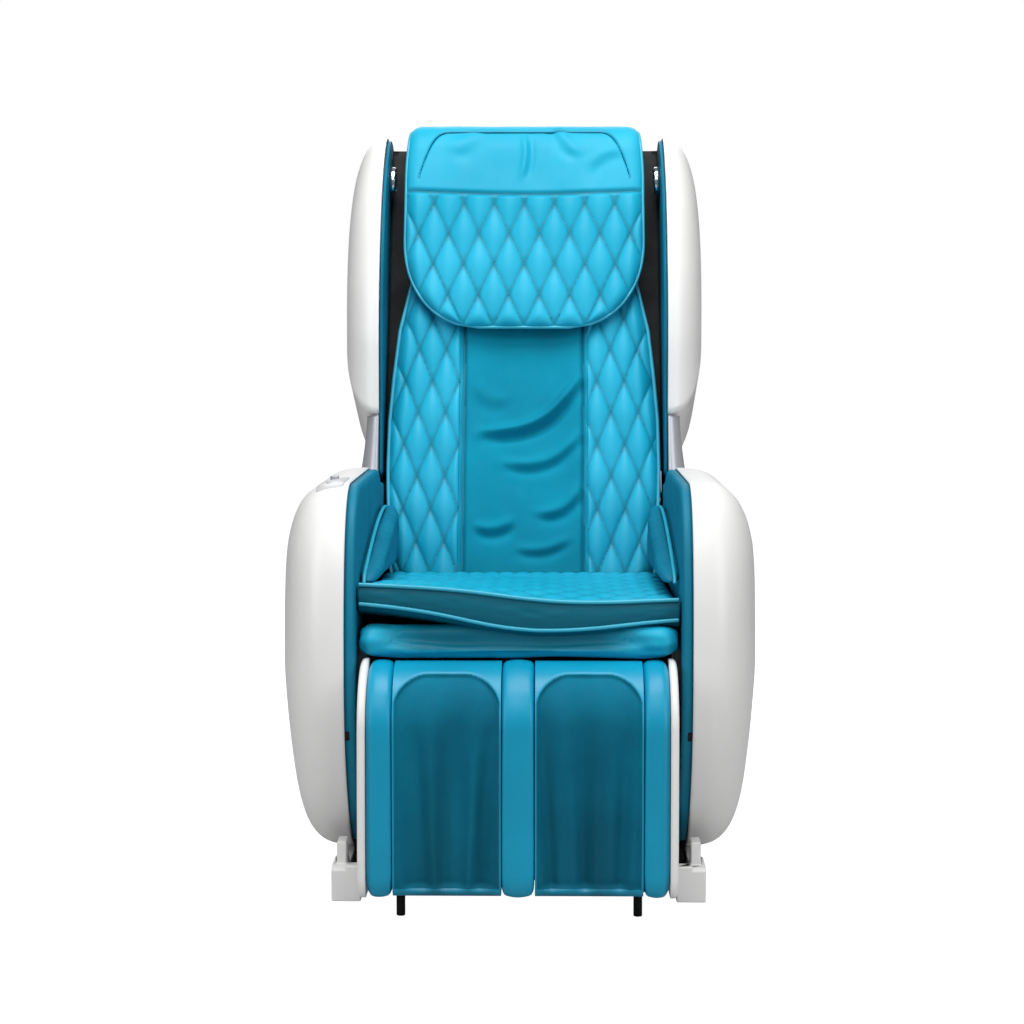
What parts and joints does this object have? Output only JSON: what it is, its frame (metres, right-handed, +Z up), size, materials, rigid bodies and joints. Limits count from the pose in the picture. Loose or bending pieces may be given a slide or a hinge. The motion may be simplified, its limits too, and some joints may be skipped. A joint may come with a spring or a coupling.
{
  "type": "reclining massage armchair",
  "caption": "Electric massage armchair: upholstered reclining back with side wings and head pillow, domed side arms, seat cushion and a swinging calf rest with two leg channels.",
  "frame": {"origin": "on the floor, under the middle of the chair's bounding box", "axes": "+Z up, the sitter faces -Y, +X is to the sitter's left"},
  "size_m": [0.65, 1.0262, 1.1142],
  "materials": {
    "white_shell": "moulded, high gloss",
    "teal_leather": "soft semi-gloss synthetic leather",
    "teal_lining": "stretched smooth lining, satin",
    "calf_fabric": "stretch fabric drape, dull",
    "silver_trim": "silver painted plastic",
    "chrome": "bright",
    "black_plastic": "fine texture",
    "painted_steel": "powder coat",
    "polished_rod": "ground",
    "rubber": "dull"
  },
  "bodies": {
    "base": {"base_frame": "painted_steel", "side_frame_left": "painted_steel", "side_frame_right": "painted_steel", "base_cover_left": "white_shell", "base_cover_right": "white_shell", "front_foot_left": "rubber", "front_foot_right": "rubber", "arm_shell_left": "white_shell", "arm_shell_right": "white_shell", "arm_liner_left": "teal_lining", "arm_liner_right": "teal_lining", "seat_pan": "painted_steel", "seat_cushion": "teal_leather", "seat_apron": "teal_leather", "hip_bolster_left": "teal_leather", "hip_bolster_right": "teal_leather", "recline_shaft": "painted_steel", "leg_shaft": "painted_steel", "control_box": "black_plastic", "air_pump": "black_plastic", "rear_lower_cover": "black_plastic", "power_inlet": "black_plastic", "control_panel": "black_plastic"},
    "back": {"back_frame": "painted_steel", "wing_shell_left": "white_shell", "wing_shell_right": "white_shell", "back_rear_cover": "white_shell", "wing_liner_left": "teal_lining", "wing_liner_right": "teal_lining", "wing_trim_left": "silver_trim", "wing_trim_right": "silver_trim", "back_pad": "teal_leather", "speaker_left": "chrome", "speaker_right": "chrome"},
    "head_pillow": {"head_pillow": "teal_leather"},
    "calf_rest": {"leg_side_cover_left": "white_shell", "leg_side_cover_right": "white_shell", "leg_frame": "painted_steel", "leg_rear_cover": "black_plastic", "calf_bolster_left": "teal_leather", "calf_bolster_right": "teal_leather", "calf_divider": "teal_leather", "calf_pad_left": "calf_fabric", "calf_pad_right": "calf_fabric"},
    "massage_carriage": {"massage_carriage": "painted_steel"},
    "massage_arm_left": {"massage_arm_left": "painted_steel"},
    "massage_arm_right": {"massage_arm_right": "painted_steel"},
    "recline_actuator": {"recline_actuator": "black_plastic"},
    "recline_rod": {"recline_rod": "polished_rod"},
    "leg_actuator": {"leg_actuator": "black_plastic"},
    "leg_rod": {"leg_rod": "polished_rod"},
    "rear_wheel_left": {"rear_wheel_left": "black_plastic"},
    "rear_wheel_right": {"rear_wheel_right": "black_plastic"},
    "panel_button_1": {"panel_button_1": "silver_trim"},
    "panel_button_2": {"panel_button_2": "silver_trim"},
    "massage_roller_upper_left": {"massage_roller_upper_left": "black_plastic"},
    "massage_roller_lower_left": {"massage_roller_lower_left": "black_plastic"},
    "massage_roller_upper_right": {"massage_roller_upper_right": "black_plastic"},
    "massage_roller_lower_right": {"massage_roller_lower_right": "black_plastic"}
  },
  "joints": [
    {"name": "back_recline", "type": "hinge", "parent": "base", "child": "back", "pos_m": [0, 0.10738, 0.345], "axis": [-1, 0, 0], "range_deg": [0, 45]},
    {"name": "calf_lift", "type": "hinge", "parent": "base", "child": "calf_rest", "pos_m": [0, -0.42262, 0.275], "axis": [-1, 0, 0], "range_deg": [0, 85]},
    {"name": "pillow_lift", "type": "hinge", "parent": "back", "child": "head_pillow", "pos_m": [0, 0.38852, 1.09424], "axis": [-1, 0, 0], "range_deg": [0, 110]},
    {"name": "carriage_travel", "type": "slide", "parent": "back", "child": "massage_carriage", "axis": [0, 0.3746, 0.9272], "range_m": [-0.15, 0.23]},
    {"name": "recline_actuator_swing", "type": "hinge", "parent": "base", "child": "recline_actuator", "pos_m": [-0.06, -0.21262, 0.12], "axis": [1, 0, 0], "range_deg": [-1, 16]},
    {"name": "recline_rod_slide", "type": "slide", "parent": "recline_actuator", "child": "recline_rod", "axis": [0, 0.9395, 0.3425], "range_m": [-0.062, 0.002]},
    {"name": "leg_actuator_swing", "type": "hinge", "parent": "base", "child": "leg_actuator", "pos_m": [0.06, 0.01738, 0.13], "axis": [1, 0, 0], "range_deg": [-1, 8]},
    {"name": "leg_rod_slide", "type": "slide", "parent": "leg_actuator", "child": "leg_rod", "axis": [0, -0.9761, 0.2175], "range_m": [-0.002, 0.112]},
    {"name": "massage_arm_left_tilt", "type": "hinge", "parent": "massage_carriage", "child": "massage_arm_left", "pos_m": [-0.04, 0.25722, 0.71587], "axis": [1, 0, 0], "range_deg": [-8, 8]},
    {"name": "massage_roller_upper_left_spin", "type": "hinge", "parent": "massage_arm_left", "child": "massage_roller_upper_left", "pos_m": [-0.0465, 0.2983, 0.78017], "axis": [1, 0, 0], "continuous": true},
    {"name": "massage_roller_lower_left_spin", "type": "hinge", "parent": "massage_arm_left", "child": "massage_roller_lower_left", "pos_m": [-0.0465, 0.24211, 0.64109], "axis": [1, 0, 0], "continuous": true},
    {"name": "rear_wheel_left_spin", "type": "hinge", "parent": "base", "child": "rear_wheel_left", "pos_m": [-0.15, 0.31238, 0.025], "axis": [1, 0, 0], "continuous": true},
    {"name": "massage_arm_right_tilt", "type": "hinge", "parent": "massage_carriage", "child": "massage_arm_right", "pos_m": [0.04, 0.25722, 0.71587], "axis": [1, 0, 0], "range_deg": [-8, 8]},
    {"name": "massage_roller_upper_right_spin", "type": "hinge", "parent": "massage_arm_right", "child": "massage_roller_upper_right", "pos_m": [0.0465, 0.2983, 0.78017], "axis": [1, 0, 0], "continuous": true},
    {"name": "massage_roller_lower_right_spin", "type": "hinge", "parent": "massage_arm_right", "child": "massage_roller_lower_right", "pos_m": [0.0465, 0.24211, 0.64109], "axis": [1, 0, 0], "continuous": true},
    {"name": "rear_wheel_right_spin", "type": "hinge", "parent": "base", "child": "rear_wheel_right", "pos_m": [0.15, 0.31238, 0.025], "axis": [1, 0, 0], "continuous": true},
    {"name": "panel_button_1_press", "type": "slide", "parent": "base", "child": "panel_button_1", "axis": [0, 0.0872, -0.9962], "range_m": [0, 0.001], "stiffness_N_per_m": 400, "springref_m": -0.0005},
    {"name": "panel_button_2_press", "type": "slide", "parent": "base", "child": "panel_button_2", "axis": [0, 0.0872, -0.9962], "range_m": [0, 0.001], "stiffness_N_per_m": 400, "springref_m": -0.0005}
  ],
  "couplings": [
    {"joint": "recline_actuator_swing", "follows": "back_recline", "ratio": 0.2788},
    {"joint": "recline_rod_slide", "follows": "back_recline", "m_per_rad": -0.0727},
    {"joint": "leg_actuator_swing", "follows": "calf_lift", "ratio": 0.0592},
    {"joint": "leg_rod_slide", "follows": "calf_lift", "m_per_rad": 0.07}
  ]
}
